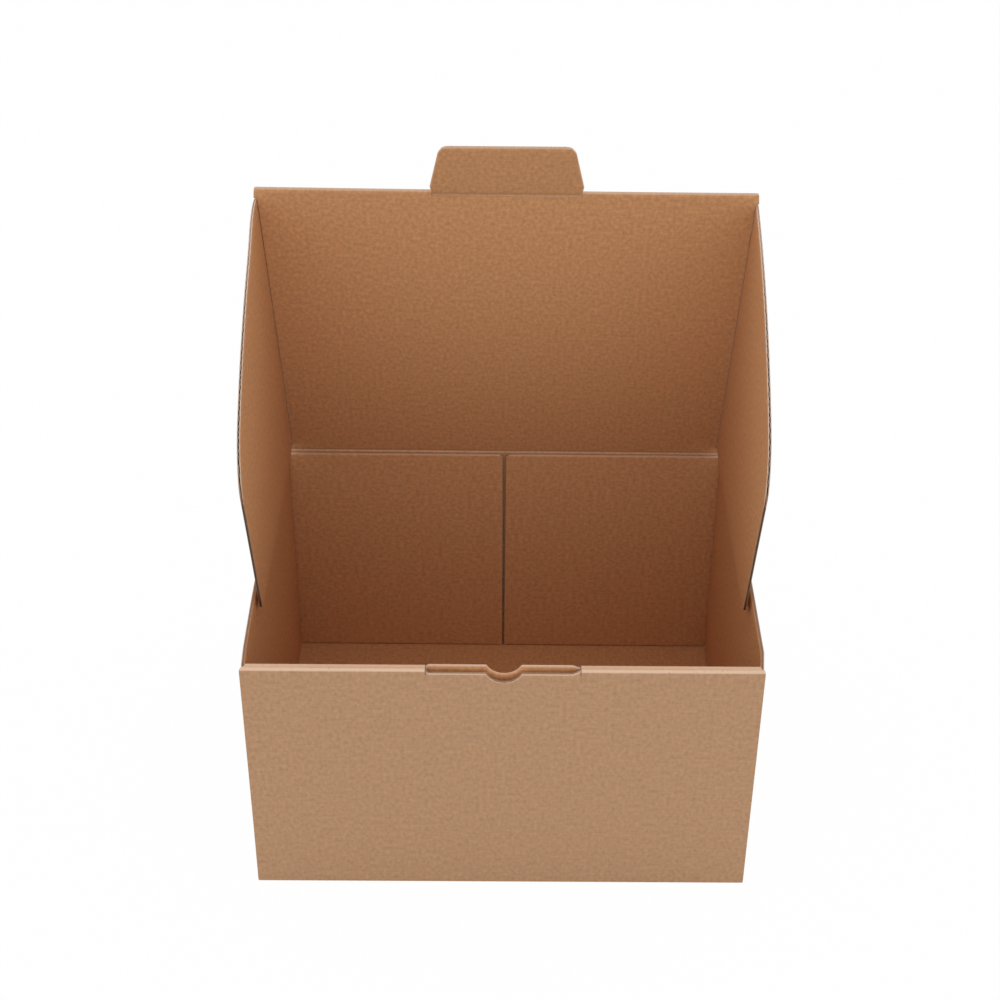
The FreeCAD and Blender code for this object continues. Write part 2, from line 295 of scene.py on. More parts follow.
def paperLayer(tree, sheet, base, thickness):
    # One sheet of paper: moved off the middle of the board, thickened and closed
    normal = addNode(tree, "GeometryNodeInputNormal").outputs["Normal"]
    move = addNode(tree, "GeometryNodeSetPosition", Geometry=sheet, Offset=scaled(tree, normal, base))
    moved = move.outputs["Geometry"]
    thicken = addNode(tree, "GeometryNodeExtrudeMesh", Mesh=moved)
    thicken.mode = "FACES"
    thicken.inputs["Individual"].default_value = False
    feed(tree, thicken.inputs["Offset Scale"], thickness)
    underside = addNode(tree, "GeometryNodeFlipFaces", Mesh=moved)
    both = joined(tree, thicken.outputs["Mesh"], underside.outputs["Mesh"])
    weldGap = board["weldGap"] * millimetre
    closed = addNode(tree, "GeometryNodeMergeByDistance", Geometry=both, Distance=weldGap)
    return closed.outputs["Geometry"]


def makeBoardTree():
    # The sheet's front side becomes the liner that faces into the box
    tree = bpy.data.node_groups.new("corrugatedBoard", "GeometryNodeTree")
    sockets = tree.interface
    sockets.new_socket("Geometry", in_out="INPUT", socket_type="NodeSocketGeometry")
    for name in ("Thickness", "Liner", "Medium", "Flute Pitch", "Washboard"):
        sockets.new_socket(name, in_out="INPUT", socket_type="NodeSocketFloat")
    sockets.new_socket("Paper", in_out="INPUT", socket_type="NodeSocketMaterial")
    sockets.new_socket("Geometry", in_out="OUTPUT", socket_type="NodeSocketGeometry")
    given = tree.nodes.new("NodeGroupInput").outputs
    result = tree.nodes.new("NodeGroupOutput")

    phase = mathNode(tree, "DIVIDE", readAttribute(tree, "across"), given["Flute Pitch"])
    wave = mathNode(tree, "SINE", times(tree, phase, 2 * math.pi))
    kept = minus(tree, 1.0, readAttribute(tree, "crush"))
    halfBoard = times(tree, times(tree, given["Thickness"], kept), 0.5)
    ripple = times(tree, wave, given["Washboard"])
    underLiner = minus(tree, halfBoard, given["Liner"])
    front = mathNode(tree, "ADD", underLiner, ripple)
    rear = minus(tree, ripple, halfBoard)
    halfMedium = times(tree, given["Medium"], 0.5)
    flute = minus(tree, times(tree, wave, minus(tree, underLiner, halfMedium)), halfMedium)

    layers = []
    for base, thickness, inside, medium in ((front, given["Liner"], 1.0, 0.0),
                                            (rear, given["Liner"], 0.0, 0.0),
                                            (flute, given["Medium"], 0.5, 1.0)):
        layer = paperLayer(tree, given["Geometry"], base, thickness)
        layer = storeAttribute(tree, layer, "inside", inside)
        layers.append(storeAttribute(tree, layer, "medium", medium))
    realize = addNode(tree, "GeometryNodeRealizeInstances", Geometry=joined(tree, *layers))
    paper = addNode(tree, "GeometryNodeSetMaterial", Geometry=realize.outputs["Geometry"],
                    Material=given["Paper"])
    tree.links.new(paper.outputs["Geometry"], result.inputs["Geometry"])
    return tree


def makeBoard(sheet, tree, paper):
    # The middle of the board becomes an object, and the tree's result its final mesh
    points, values, faces = sheet.weld()
    surface = bpy.data.meshes.new(sheet.name + "Middle")
    surface.from_pydata(points.tolist(), [], faces)
    for index, name in ((0, "across"), (2, "crush"), (3, "cut")):
        scale = millimetre if name == "across" else 1.0
        layer = surface.attributes.new(name, "FLOAT", "POINT")
        layer.data.foreach_set("value", (values[:, index] * scale).astype(np.float32))
    tone = surface.attributes.new("tone", "FLOAT", "POINT")
    tone.data.foreach_set("value", np.full(len(values), sheet.tone, dtype=np.float32))
    patternStart = np.full(len(values), sheet.seed * board["patternStep"])
    place = np.column_stack([values[:, 0], values[:, 1], patternStart])
    pattern = surface.attributes.new("sheetPlace", "FLOAT_VECTOR", "POINT")
    pattern.data.foreach_set("vector", place.astype(np.float32).ravel())
    source = addObject(sheet.name + "Middle", surface)
    modifier = source.modifiers.new("board", "NODES")
    modifier.node_group = tree
    given = {
        "Thickness": box["board"] * millimetre,
        "Liner": board["liner"] * millimetre,
        "Medium": board["medium"] * millimetre,
        "Flute Pitch": board["flutePitch"] * millimetre,
        "Washboard": board["washboard"] * millimetre,
        "Paper": paper,
    }
    for item in tree.interface.items_tree:
        if item.in_out == "INPUT" and item.name in given:
            modifier[item.identifier] = given[item.name]
    source.update_tag()
    graph = bpy.context.evaluated_depsgraph_get()
    mesh = bpy.data.meshes.new_from_object(source.evaluated_get(graph))
    source.modifiers.remove(modifier)
    bpy.data.objects.remove(source)
    mesh.name = sheet.name
    mesh.polygons.foreach_set("use_smooth", [True] * len(mesh.polygons))
    mesh.set_sharp_from_angle(angle=board["smoothBelow"])
    piece = addObject(sheet.name, mesh)
    print(sheet.name, "made,", len(mesh.polygons), "faces")
    return piece


kraft = {
    "inside": (0.62, 0.315, 0.144),
    "outside": (0.515, 0.299, 0.168),
    "fluted": (0.25, 0.145, 0.085),
    "creaseWhiteAndSheen": (0.80, 0.548, 0.378),     # fibres opened where the paper was bent, and painted sheen on the front roll's flat top
    "paleEdge": (0.80, 0.620, 0.510),
    # The dark edge colour serves both dark cut edges and painted shade
    "darkEdgeAndShade": (0.17, 0.130, 0.105),
    "speck": (0.24, 0.120, 0.060),
    "whitenFrom": 0.18,         # the crush at which a crease starts to whiten
    "whitenFull": 0.31,
    "whitenLess": 0.4,          # share that the side facing into the box loses
    "creaseCalm": 0.75,         # share of the pattern lost under the crease white and the painted sheen
    "grain": 0.55,              # how strongly each pattern changes the paper's level
    "insideGrain": 0.12,        # more of it on the side that faces into the box
    "streaks": 0.22,
    "grainSize": (0.68, 0.5),   # cycles in a millimetre, across and along the flutes
    "streakSize": (0.12, 1.6),
    "speckSize": (0.9, 1.3),
    "grainDetail": 3.0,
    "streakDetail": 2.0,
    "speckDetail": 1.0,
    "speckFrom": 0.72,          # only the pattern's peaks give specks
    "speckFull": 0.80,
    "speckStrength": 0.5,
    "paleStrength": 0.95,       # of a cut edge, on the inner liner
    "outerPale": 0.6,           # share of that on the outer one
    "darkStrength": 0.9,
    "roughness": 0.82,
    "specular": 0.25,
    "bump": 0.12,
    "bumpDepth": 0.0001,
}


def mixColour(tree, factor, first, second):
    node = tree.nodes.new("ShaderNodeMix")
    node.data_type = "RGBA"
    sockets = (node.inputs[0], node.inputs[6], node.inputs[7])      # the factor and the two colours
    for socket, value in zip(sockets, (factor, first, second)):
        feed(tree, socket, (*value, 1.0) if isinstance(value, tuple) else value)
    return node.outputs[2]


def spread(tree, value, low, high):
    node = addNode(tree, "ShaderNodeMapRange", Value=value)
    node.inputs["From Min"].default_value = low
    node.inputs["From Max"].default_value = high
    return node.outputs["Result"]


def sheetNoise(tree, place, size, detail):
    mapping = addNode(tree, "ShaderNodeMapping", Vector=place, Scale=(*size, 1.0))
    noise = addNode(tree, "ShaderNodeTexNoise", Vector=mapping.outputs["Vector"], Scale=1.0, Detail=detail)
    return noise.outputs["Fac"]


def makePaper():
    paper = bpy.data.materials.new("kraftLiner")
    paper.use_nodes = True
    tree = paper.node_tree
    tree.nodes.clear()
    attributes = {}
    for name in ("sheetPlace", "crush", "cut", "medium", "inside", "tone"):
        node = tree.nodes.new("ShaderNodeAttribute")
        node.attribute_name = name
        attributes[name] = node.outputs["Vector" if name == "sheetPlace" else "Fac"]
    place, cut, inside = attributes["sheetPlace"], attributes["cut"], attributes["inside"]

    colour = mixColour(tree, inside, kraft["outside"], kraft["inside"])
    colour = mixColour(tree, attributes["medium"], colour, kraft["fluted"])
    # Crease white where the board is crushed: real whitening at folds, and painted sheen on the roll's top
    whitenedAndSheen = spread(tree, attributes["crush"], kraft["whitenFrom"], kraft["whitenFull"])
    whitenedAndSheen = times(tree, whitenedAndSheen, minus(tree, 1.0, mathNode(tree, "ABSOLUTE", cut)))
    whitenedAndSheen = times(tree, whitenedAndSheen, minus(tree, 1.0, times(tree, inside, kraft["whitenLess"])))
    colour = mixColour(tree, whitenedAndSheen, colour, kraft["creaseWhiteAndSheen"])

    grain = sheetNoise(tree, place, kraft["grainSize"], kraft["grainDetail"])
    streaks = sheetNoise(tree, place, kraft["streakSize"], kraft["streakDetail"])
    strength = mathNode(tree, "ADD", times(tree, inside, kraft["insideGrain"]), kraft["grain"])
    grained = times(tree, minus(tree, grain, 0.5), strength)
    streaked = times(tree, minus(tree, streaks, 0.5), kraft["streaks"])
    calm = minus(tree, 1.0, times(tree, whitenedAndSheen, kraft["creaseCalm"]))
    level = times(tree, mathNode(tree, "ADD", grained, streaked), calm)
    # Each piece's tone scales its paper: painted light on the lid and painted shade on the tuck tab
    level = times(tree, mathNode(tree, "ADD", level, 1.0), attributes["tone"])
    peaks = sheetNoise(tree, place, kraft["speckSize"], kraft["speckDetail"])
    specks = spread(tree, peaks, kraft["speckFrom"], kraft["speckFull"])
    specks = times(tree, specks, kraft["speckStrength"])
    colour = mixColour(tree, specks, scaled(tree, colour, level), kraft["speck"])

    pale = times(tree, mathNode(tree, "MAXIMUM", cut, 0.0), kraft["paleStrength"])
    liner = mathNode(tree, "ADD", times(tree, inside, 1 - kraft["outerPale"]), kraft["outerPale"])
    pale = times(tree, pale, liner)
    # Below zero the cut tone paints dark: dark cut edges, and painted shade beside creases, in the rear
    # flaps' seam and along the wings' lower edges
    darkAndShade = times(tree, mathNode(tree, "MINIMUM", cut, 0.0), -kraft["darkStrength"])
    colour = mixColour(tree, pale, colour, kraft["paleEdge"])
    colour = mixColour(tree, darkAndShade, colour, kraft["darkEdgeAndShade"])

    bump = addNode(tree, "ShaderNodeBump", Height=mathNode(tree, "ADD", grain, streaks),
                   Strength=kraft["bump"], Distance=kraft["bumpDepth"])
    shader = addNode(tree, "ShaderNodeBsdfPrincipled", Normal=bump.outputs["Normal"],
                     Roughness=kraft["roughness"])
    feed(tree, shader.inputs["Base Color"], colour)
    feed(tree, shader.inputs["Specular IOR Level"], kraft["specular"])
    addNode(tree, "ShaderNodeOutputMaterial", Surface=shader.outputs["BSDF"])
    return paper


boardTree = makeBoardTree()
kraftPaper = makePaper()
print("board tree and paper ready")


def inTray(x, y, z):
    fade = math.exp(-y / box["footDepth"] - z / box["footHeight"])
    out = box["footOut"] * (0.5 - 0.5 * x / half) * fade
    return (x, y - out - box["depth"] / 2, z)


floor = {
    "edge": middle + board["foldRadius"],   # where the folds round it begin
    "lockSpread": 110.0,
    "lockSlot": 27.0,
    "lockFront": 3.2,
    "lockBack": 5.1,
    "plainRows": (30, 60, 90, 120),
}


def makeFloor():
    edge, slot = floor["edge"], floor["lockSlot"] / 2
    reach = half - edge
    lockEnds = [s * floor["lockSpread"] / 2 + t * slot for s in (-1, 1) for t in (-1, 1)]
    leads = [s * (reach - board["foldLead"]) for s in (-1, 1)]
    rows = [edge, floor["lockFront"], floor["lockBack"], *floor["plainRows"],
            box["depth"] - edge - board["foldLead"], box["depth"] - edge]
    sheet = Sheet("floorPanel", 1)
    grid = []
    for x in columnStations(-reach, reach, lockEnds + leads):
        column = []
        for y in rows:
            atFold = abs(x) > reach - hair or y in (rows[0], rows[-1])
            crush = board["foldCrush"] / 2 if atFold else 0.0
            column.append((inTray(x, y, middle), x, y, crush, 0.0))
        grid.append(column)
    holes = [(s * floor["lockSpread"] / 2 - slot, s * floor["lockSpread"] / 2 + slot,
              floor["lockFront"], floor["lockBack"]) for s in (-1, 1)]
    sheet.addGrid(grid, holes=holes)
    return makeBoard(sheet, boardTree, kraftPaper)


# Front wall: outer panel, roll over the top, and inner panel with its two lock tabs

front = {
    "half": 100.4,
    "innerY": 4.15,
    "innerEnd": 97.2,
    "rollEnd": 98.4,            # half width at the roll's rear crease
    "rollRight": 0.35,          # and this much more on the right
    "taperAt": (1.4, 3.8),      # the roll narrows between these places from the front
    "taperWide": 1.2,
    "innerTaper": (107.0, 109.5),       # and the inner panel between these heights
    "innerFoot": 1.7,
    "frontLift": 1.15,          # the roll stands proud of the wall by this at its front crease
    "rearLift": 0.75,
    "liftTilt": 0.3,            # more on the right, less on the left
    "liftRise": 3.5,            # the height over which the lift gathers
    "rollDip": 0.2,             # the roll is lower between its two creases
    # The roll's top is crushed by this, which thins it and paints a sheen on it with the crease white
    "rollCrushAndSheen": 0.28,
    "rollBand": 0.2,            # rows this near to the top are the roll's
    "slotHalf": 29.75,
    "slotShift": 0.4,           # to the right of the middle
    "slotEndTone": -0.9,
    "slotEndWidth": 0.2,
    "slotLow": 106.0,           # rows above this belong to the slot's own edges
    "slotCrush": 0.6,
    "slotRow": 2.4,             # the highest plain row lies this far below each edge
    "outerLip": 110.75,         # cut top edge of the outer panel along the slot
    "outerNotch": 4.4,
    "lipTone": -0.5,
    "tongueTop": 111.7,
    "tongueNotch": 4.2,
    "tongueLean": 0.35,
    "notchHalf": 6.9,
    "notchShift": 0.7,
    "notchColumns": 24,         # in each half of it
    "lipRise": 0.9,             # how far each edge climbs where the slot closes
    "tongueRise": -0.75,
    "lipMeets": 2.2,            # where each edge ends up, from the front
    "tongueMeets": 2.9,
    "closingDepth": 1.25,       # how far down from its edge a panel leans in there
    "closingPower": 1.5,
    "leftPoint": 1.2,           # the slot's ends close in over these lengths
    "rightPoint": 3.6,
    "lockTab": 26.0,
    "lockTip": 0.25,
}


def notchDrop(x, depth):
    # How far the thumb notch comes down from the wall's top at this column
    radius = (front["notchHalf"] ** 2 + depth ** 2) / (2 * depth)
    inside = radius ** 2 - (x - front["notchShift"]) ** 2
    return max(0.0, math.sqrt(inside) - radius + depth) if inside > 0 else 0.0


def slotClosing(x):
    # 0 along the slot and 1 at its ends: blunt on the left, pointed on the right
    x -= front["slotShift"]
    reach = front["leftPoint"] if x < 0 else front["rightPoint"]
    return max(0.0, 1 - (front["slotHalf"] - abs(x)) / reach) ** front["closingPower"]


def frontHalf(x, y, z):
    # Half width of the front wall on this side, where its section is at y, z
    foldTop = middle + board["foldRadius"]
    if z < foldTop:
        return front["half"] - floor["edge"] * (1 - z / foldTop)
    if y < middle + hair:
        return front["half"]
    end = front["rollEnd"] + (front["rollRight"] if x > 0 else 0)
    if y < front["innerY"] - hair:
        widths = (front["half"], end + front["taperWide"], end)
        return float(np.interp(y, (middle, *front["taperAt"]), widths))
    return float(np.interp(z, front["innerTaper"], (front["innerEnd"], end)))


def rollShare(y):
    # 0 at the roll's front crease and 1 at its rear one
    return limited((y - middle) / (front["innerY"] - middle))


def rollLift(x, y, z):
    rise = limited((z - front["slotLow"]) / front["liftRise"])
    lift = front["frontLift"] + (front["rearLift"] - front["frontLift"]) * rollShare(y)
    return (lift + front["liftTilt"] * x / half) * rise ** 2


def slotEdge(x, y, top, notch, crush, along, way, tone=1.0):
    # One of the slot's two edges in this column, as rows going up from slotLow
    low = front["slotLow"]
    scale = (top - notchDrop(x, notch) + fray(x) - low) / (top - low)
    closing = slotClosing(x)
    if y < front["innerY"]:
        turn = (front["lipMeets"] - y) * closing
        rise = front["lipRise"] * closing
    else:
        turn = front["tongueLean"] + (front["tongueMeets"] - y) * closing
        rise = front["tongueRise"] * closing
    rows = []
    for z, crushed, cut in [(top - front["slotRow"], 0.0, 0.0)] + towardsEdge(top, -1, crush, tone):
        height = low + (z - low) * scale
        upper = max(0.0, 1 - (top - z) / front["closingDepth"])
        place = inTray(x, y + turn * upper, height + rise * upper)
        rows.append((place, x, along + way * (height - low), crushed, cut))
    return rows


def makeFrontWall():
    top = box["wallHeight"] - middle
    innerY, low = front["innerY"], front["slotLow"]
    corners = [(floor["edge"], middle), (middle, middle), (middle, low), (middle, top),
               (innerY, top), (innerY, low), (innerY, front["innerFoot"])]
    shaped = []
    for (y, z), crush, cut in cutEnd(foldedPath(corners)[3:]):
        # Painted sheen: the roll's whole top is crushed, so that it takes the crease white
        if z > top - front["rollBand"]:
            z -= front["rollDip"] * math.sin(math.pi * rollShare(y)) ** 2
            crush = max(crush, front["rollCrushAndSheen"])
        shaped.append((Vector((y, z)), crush, cut))
    lengths = rowLengths(shaped)
    sheet = Sheet("frontWall", 2)

    def fullColumn(x, used, tone=0.0):
        column = []
        for j in used:
            (y, z), crush, cut = shaped[j]
            across = squeeze(x, frontHalf(x, y, z), half)
            if cut == 1.0:
                z += fray(across)
            lifted = z + rollLift(across, y, z)
            column.append((inTray(across, y, lifted), across, lengths[j], crush,
                           tone if tone and z > low else cut))
        return column

    slotHalf, notchHalf = front["slotHalf"], front["notchHalf"]
    slotWest, slotEast = front["slotShift"] - slotHalf, front["slotShift"] + slotHalf
    everyRow = range(len(shaped))
    for west, east, end, sign in ((-half, slotWest, slotWest, -1), (slotEast, half, slotEast, 1)):
        grid = [fullColumn(x, everyRow, front["slotEndTone"] if x == end else 0.0)
                for x in columnStations(west, east, [end + sign * front["slotEndWidth"]])]
        sheet.addGrid(grid, flip=True)

    upper = [j for j in everyRow if shaped[j][0].y >= low - hair]
    outerLow, innerLow = upper[0], upper[-1]
    west, east = front["notchShift"] - notchHalf, front["notchShift"] + notchHalf
    steps = front["notchColumns"]
    fine = [west + notchHalf * k / steps for k in range(1, 2 * steps)]
    columns = columnStations(slotWest, west) + fine + columnStations(east, slotEast)
    outer, inner = [], []
    for x in columns:
        lip = slotEdge(x, middle, front["outerLip"], front["outerNotch"], front["slotCrush"],
                       lengths[outerLow], 1, front["lipTone"])
        tongue = slotEdge(x, innerY, front["tongueTop"], front["tongueNotch"], front["slotCrush"],
                          lengths[innerLow], -1)
        outer.append(fullColumn(x, range(outerLow + 1)) + lip)
        inner.append(tongue[::-1] + fullColumn(x, range(innerLow, len(shaped))))
    sheet.addGrid(outer, flip=True)
    sheet.addGrid(inner, flip=True)

    foot = front["innerFoot"]
    for s in (-1, 1):
        ends = [s * floor["lockSpread"] / 2 + t * front["lockTab"] / 2 for t in (-1, 1)]
        rows = [(foot, 0.0, 0.0)] + towardsEdge(front["lockTip"], 1)[1:]
        grid = []
        for x in columnStations(*ends):
            grid.append([(inTray(x, innerY, z), x, lengths[-1] + foot - z, crush, cut)
                         for z, crush, cut in rows])
        sheet.addGrid(grid, flip=True)
    return makeBoard(sheet, boardTree, kraftPaper)


back = {
    "lidHalf": 97.9,
    "foldLow": 111.2,           # where the lid's fold begins
    "foldCrush": 0.1,           # at that place
    "earTop": 111.6,            # the small cut edge at each end of the fold
    "earTone": -0.6,
}


def makeBackWall():
    depth = box["depth"]
    wallY, foldTop = depth - middle, middle + board["foldRadius"]
    corners = [(depth - floor["edge"], middle), (wallY, middle), (wallY, back["foldLow"])]
    rows = foldedPath(corners)[3:]
    rows[-1] = (rows[-1][0], back["foldCrush"], 0.0)
    lengths = rowLengths(rows)
    sheet = Sheet("backWall", 3)

    def column(x, ear):
        points = []
        for ((y, z), crush, cut), along in zip(rows, lengths):
            width = half - floor["edge"] * max(0.0, 1 - z / foldTop)
            across = squeeze(x, width, half)
            points.append((inTray(across, y, z), across, along, crush, cut))
        if ear:
            z = back["earTop"] + fray(x)
            points.append((inTray(x, wallY, z), x, lengths[-1] + z - back["foldLow"],
                           board["edgeCrush"], back["earTone"]))
        return points

    fold = back["lidHalf"]
    for west, east, ear in ((-fold, fold, False), (-half, -fold, True), (fold, half, True)):
        sheet.addGrid([column(x, ear) for x in columnStations(west, east)])
    return makeBoard(sheet, boardTree, kraftPaper)


# Side walls, each with its front flap and its rear flap

side = {
    "bow": 1.8,                 # outwards at the top, half way along
    "rise": 1.4,                # how the bow gathers towards the top
    "leftFlare": 0.35,          # further out near the front
    "rightFlare": 1.3,
    "flareRise": 9.5,
    "flareFade": 55.0,
    "flapFoot": 1.9,
    "flapTop": 110.8,
    "flapTone": 0.6,
    # painted shadow: the rear flaps' free ends are drawn dark, for the shade in the seam between them
    "seamShade": -1.0,
    "topTone": -0.75,
    "frontFlapEnd": 35.0,
    "seamTop": 0.72,
    "seamFoot": 0.38,
    "flapCorner": 1.3,
    "topCrush": 0.65,
    "hem": 0.4,                 # the flaps thin this near to their cut edges
    "hemRow": 0.15,
    "footRun": 6.0,             # past the flaps' foot, so that the fold below it is whole
    "rowSpacing": 10.0,
}
sideX = half - middle
sideNear = box["layer"] + middle            # where the front and rear flaps turn in
sideFar = box["depth"] - box["layer"] - middle


def seamX(z):
    # Free end of a rear flap, with its rounded top corner
    foot, top = side["flapFoot"], side["flapTop"]
    end = float(np.interp(z, (foot, top), (side["seamFoot"], side["seamTop"])))
    return end + roundCorner(z - (top - side["flapCorner"]), side["flapCorner"])


def bowed(y, z, flare):
    share = limited((y - sideNear) / (sideFar - sideNear))
    start = limited((y - sideNear) / side["flareRise"])
    fade = math.exp(-max(0.0, y - sideNear - side["flareRise"]) / side["flareFade"])
    out = side["bow"] * math.sin(math.pi * share) + flare * start * fade * (1 - share)
    return out * (z / box["wallHeight"]) ** side["rise"]


def makeSideWall(name, sign, flare, seed):
    corners = [(side["frontFlapEnd"], sideNear), (sideX, sideNear), (sideX, sideFar),
               (side["seamTop"], sideFar)]
    path = foldedPath(corners, side["rowSpacing"])
    # The rear flap's free end gets painted shadow, and the front flap's end a pale cut edge
    path = cutEnd(cutEnd(path, tone=side["seamShade"]), atStart=True)
    lengths = rowLengths(path)
    flapFoot, flapTop = side["flapFoot"], side["flapTop"]
    upright = [j for j, row in enumerate(path) if abs(row[0].x - sideX) < hair]
    wall = range(upright[0], upright[-1] + 1)
    turned = upright[-1] + board["foldSteps"] + 2     # rows past here lie in the rear flap
    start = path[turned][0].x
    sheet = Sheet(name, seed)

    def point(j, z):
        x, y = path[j][0]
        if j > turned:
            x = start + (seamX(z) - start) * (start - x) / (start - side["seamTop"])
        return (x + bowed(y, z, flare)) if j in wall else x, y

    def column(z, used, across, crushHere=0.0, cutHere=0.0):
        points = []
        for j in used:
            x, y = point(j, z)
            crush, cut = max(path[j][1], crushHere), cutHere or path[j][2]
            points.append((inTray(sign * x, y, z), across, lengths[j], crush, cut))
        return points

    reach = half - floor["edge"]
    foot = foldedPath([(reach, middle), (sideX, middle), (sideX, flapFoot + side["footRun"])])[3:]
    foot = [row for row in foot if row[0].y < flapFoot - hair]
    lowest = []
    for (place, crush, _), climb in zip(foot, rowLengths(foot)):
        grid = []
        for j in wall:
            y = path[j][0].y
            x = place.x + bowed(y, place.y, flare)
            grid.append((inTray(sign * x, y, place.y), reach + climb, lengths[j],
                         max(crush, path[j][1]), 0.0))
        lowest.append(grid)
    zeroAt = reach + climb - place.y      # a row at height z lies at zeroAt + z across the flutes
    lowest.append(column(flapFoot, wall, zeroAt + flapFoot))
    sheet.addGrid(lowest, flip=sign < 0)

    hem = side["hem"]
    grid = []
    exact = [flapFoot + hem, flapTop - hem, flapTop - side["hemRow"]]
    for z in columnStations(flapFoot, flapTop, exact):
        nearEdge = min(z - flapFoot, flapTop - z)
        share = max(0.0, 1 - nearEdge / hem)
        points = column(z, range(len(path)), zeroAt + z)
        for j, (place, across, along, crush, cut) in enumerate(points):
            if j not in wall:
                cut = cut or share * side["flapTone"]
                points[j] = (place, across, along, max(crush, share * board["edgeCrush"]), cut)
        grid.append(points)
    sheet.addGrid(grid, flip=sign < 0)

    top = [column(flapTop, wall, zeroAt + flapTop)]
    for z, crush, cut in towardsEdge(box["wallHeight"], -1, side["topCrush"], side["topTone"]):
        top.append(column(z, wall, zeroAt + z, crush, cut))
    sheet.addGrid(top, flip=sign < 0)
    return makeBoard(sheet, boardTree, kraftPaper)


floorPanel = makeFloor()
frontWall = makeFrontWall()
backWall = makeBackWall()
leftSide = makeSideWall("leftSideWall", -1, side["leftFlare"], 4)
rightSide = makeSideWall("rightSideWall", 1, side["rightFlare"], 5)
for piece in (floorPanel, frontWall, backWall, leftSide, rightSide):
    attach(piece, "tray")
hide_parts("tray")
print("tray folded")


lid = {
    "half": 96.9,
    "foldHalf": 96.1,           # where the wings fold down
    "foldStep": 0.05,           # its side steps in over this, where a wing starts
    "hingeHalf": 97.9,          # the crease is a little wider than the lid
    "hingeTaper": (0.6, 2.0),   # from the hinge's width to the lid's
    "hingeReach": 1.35,         # half of the stretch that bends at the hinge
    "bendRows": (-1.2, -1.05, -0.9, -0.75, -0.6, -0.45, -0.3, -0.1, 0.1, 0.35, 0.6, 1.0),
    "hingeBead": 0.25,
    "beadWidth": 0.7,
    "hingeCrush": 0.45,
    "creaseWidth": 0.45,
    "creaseAt": -0.75,          # the crease lies below the middle of the bend
    "creaseTilt": 0.3,
    "creaseShade": 0.45,
    "shadeAt": 1.0,             # past the crease
    "shadeWidth": 0.35,
    "wingStart": 2.95,
    "wingEnd": 154.85,
    "plainRows": (20, 45, 70, 95, 120, 145),
    "lipStart": 155.3,
    "lipRows": (156.2, 157.2),
    "lipEdgeRow": 158.9,
    "lipEnd": 160.25,
    "lipCrush": 0.65,
    "lipTone": 0.4,
    "lipSpread": 0.6,           # the lip is wider where it leaves the folds of the wings
    "lipCorner": 1.0,
    "recessHalf": 28.95,
    "recessShift": 0.3,         # to the right, with the tab
    "recessStart": 158.1,
    "squeezeZone": 4.0,
    "twistPower": 1.6,
    # painted light: the lid's paper is drawn a little lighter than the tray's
    "tone": 1.02,
}


def lidTwist(x, along):
    # Out of flat, more towards the front and towards the left
    leftward = max(0.0, 0.5 - 0.5 * x / lid["half"])
    return box["lidTwist"] * max(0.0, along) / box["depth"] * leftward ** lid["twistPower"]


def inLid(x, along, up, twisted=1.0):
    # From the lid's own frame, measured along it from the hinge and up from mid-board
    c, s = math.cos(box["lidOpen"]), math.sin(box["lidOpen"])
    up += lidTwist(x, along) * twisted
    y = box["depth"] / 2 - middle - along * c + up * s
    return (x, y, box["hingeHeight"] + along * s + up * c)


def lidHalf(along):
    taperStart, taperEnd = lid["hingeTaper"]
    outline = ((taperStart, lid["hingeHalf"]), (taperEnd, lid["half"]), (lid["wingStart"], lid["half"]),
               (lid["wingStart"] + lid["foldStep"], lid["foldHalf"]), (lid["wingEnd"], lid["foldHalf"]),
               (lid["lipStart"], lid["half"] + lid["lipSpread"]), (lid["lipEnd"], lid["half"]))
    width = float(np.interp(along, *zip(*outline)))
    return width - roundCorner(along - (lid["lipEnd"] - lid["lipCorner"]), lid["lipCorner"])


def creasePlace(x):
    return lid["creaseAt"] - lid["creaseTilt"] * x / lid["half"]


def lidRow(x, along):
    # The lid's board bends from the back wall's upright to the lid's own lean
    reach = lid["hingeReach"]
    if along >= 2 * reach:
        return inLid(x, along, 0)
    share = limited((along + reach) / (2 * reach))
    bend = (math.pi / 2 - box["lidOpen"]) * share * share * (3 - 2 * share)
    bump = lid["hingeBead"] * bell(along - creasePlace(x), lid["beadWidth"])
    y = box["depth"] / 2 - middle - along * math.sin(bend) - bump * math.cos(bend)
    z = box["hingeHeight"] + along * math.cos(bend) - bump * math.sin(bend)
    return (x, y, z)


def makeLid():
    reach = lid["hingeReach"]
    places = [-reach, *lid["bendRows"], reach, lid["hingeTaper"][1], lid["wingStart"],
              lid["wingStart"] + lid["foldStep"], *lid["plainRows"], lid["wingEnd"],
              lid["lipStart"], *lid["lipRows"], lid["recessStart"]]
    rows = [(along, 0.0, 0.0) for along in places]
    lip = [(lid["lipEdgeRow"], 0.0, 0.0)]
    lip += towardsEdge(lid["lipEnd"], -1, lid["lipCrush"], lid["lipTone"])[1:]
    sheet = Sheet("lidPanel", 6, lid["tone"])

    def column(x, used):
        points = []
        for along, crush, cut in used:
            if along <= reach:
                past = along - creasePlace(x)
                crush = lid["hingeCrush"] * bell(past, lid["creaseWidth"])
                # Painted shadow just past the hinge crease
                cut = shadeBeside(past - lid["shadeAt"], lid["creaseShade"], lid["shadeWidth"])
            across = squeeze(x, lidHalf(along), lid["half"], lid["squeezeZone"])
            place = lidRow(across, along + (fray(x) if along == lid["lipEnd"] else 0))
            points.append((place, across, along, crush, cut))
        return points

    recessWest = lid["recessShift"] - lid["recessHalf"]
    recessEast = lid["recessShift"] + lid["recessHalf"]
    sheet.addGrid([column(x, rows) for x in columnStations(recessWest, recessEast)])
    for west, east in ((-lid["half"], recessWest), (recessEast, lid["half"])):
        sheet.addGrid([column(x, rows + lip) for x in columnStations(west, east)])
    return makeBoard(sheet, boardTree, kraftPaper)


